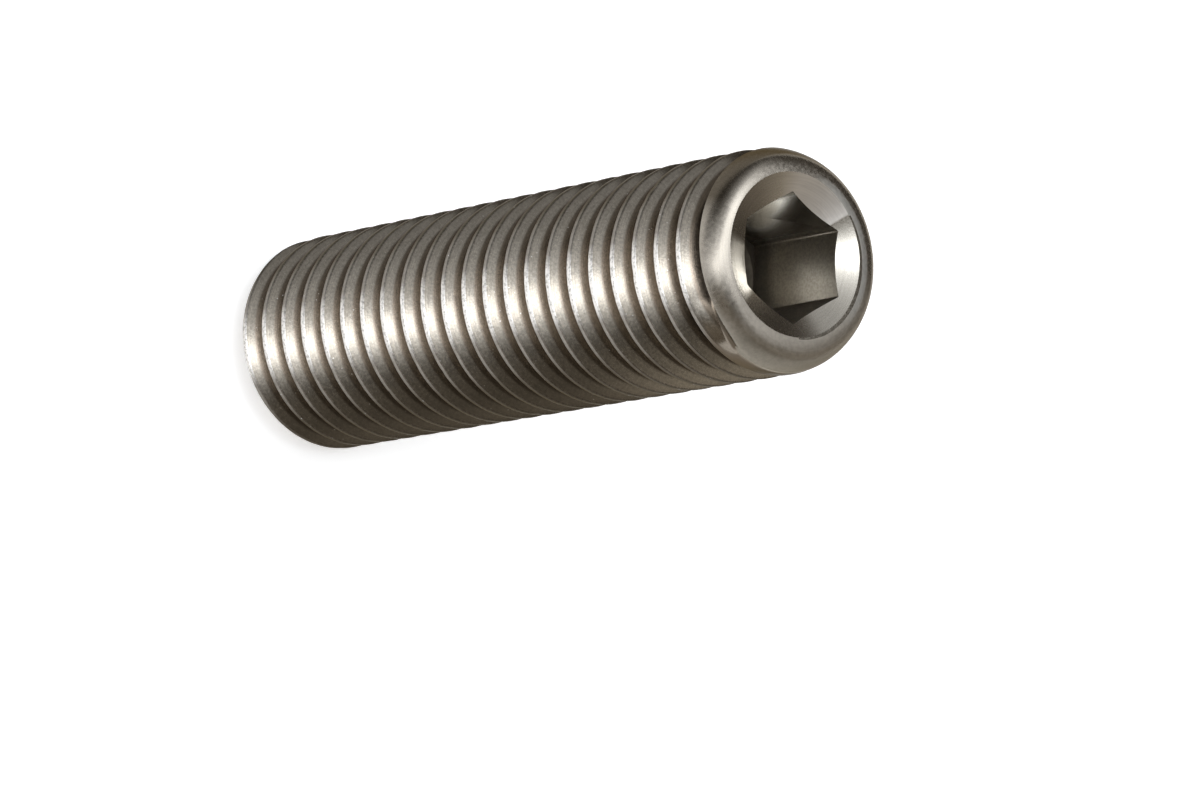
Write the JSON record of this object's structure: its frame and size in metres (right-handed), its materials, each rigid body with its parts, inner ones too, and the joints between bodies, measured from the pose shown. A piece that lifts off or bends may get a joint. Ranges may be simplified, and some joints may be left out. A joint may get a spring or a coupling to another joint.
{
  "type": "grub set screw",
  "caption": "Headless threaded screw with a countersunk hexagon socket at one end and a chamfered flat point at the other, for clamping a hub or collar on a shaft.",
  "frame": {"origin": "middle of the flat point face", "axes": "+Z along the screw's axis from the point to the socket end, +X and -X square to two flats of the socket"},
  "size_m": [0.0098, 0.0098, 0.035],
  "materials": {
    "stainless": "plain stainless steel with a satin, slightly warm grey sheen"
  },
  "bodies": {
    "root": {"set_screw": "stainless"}
  },
  "joints": []
}
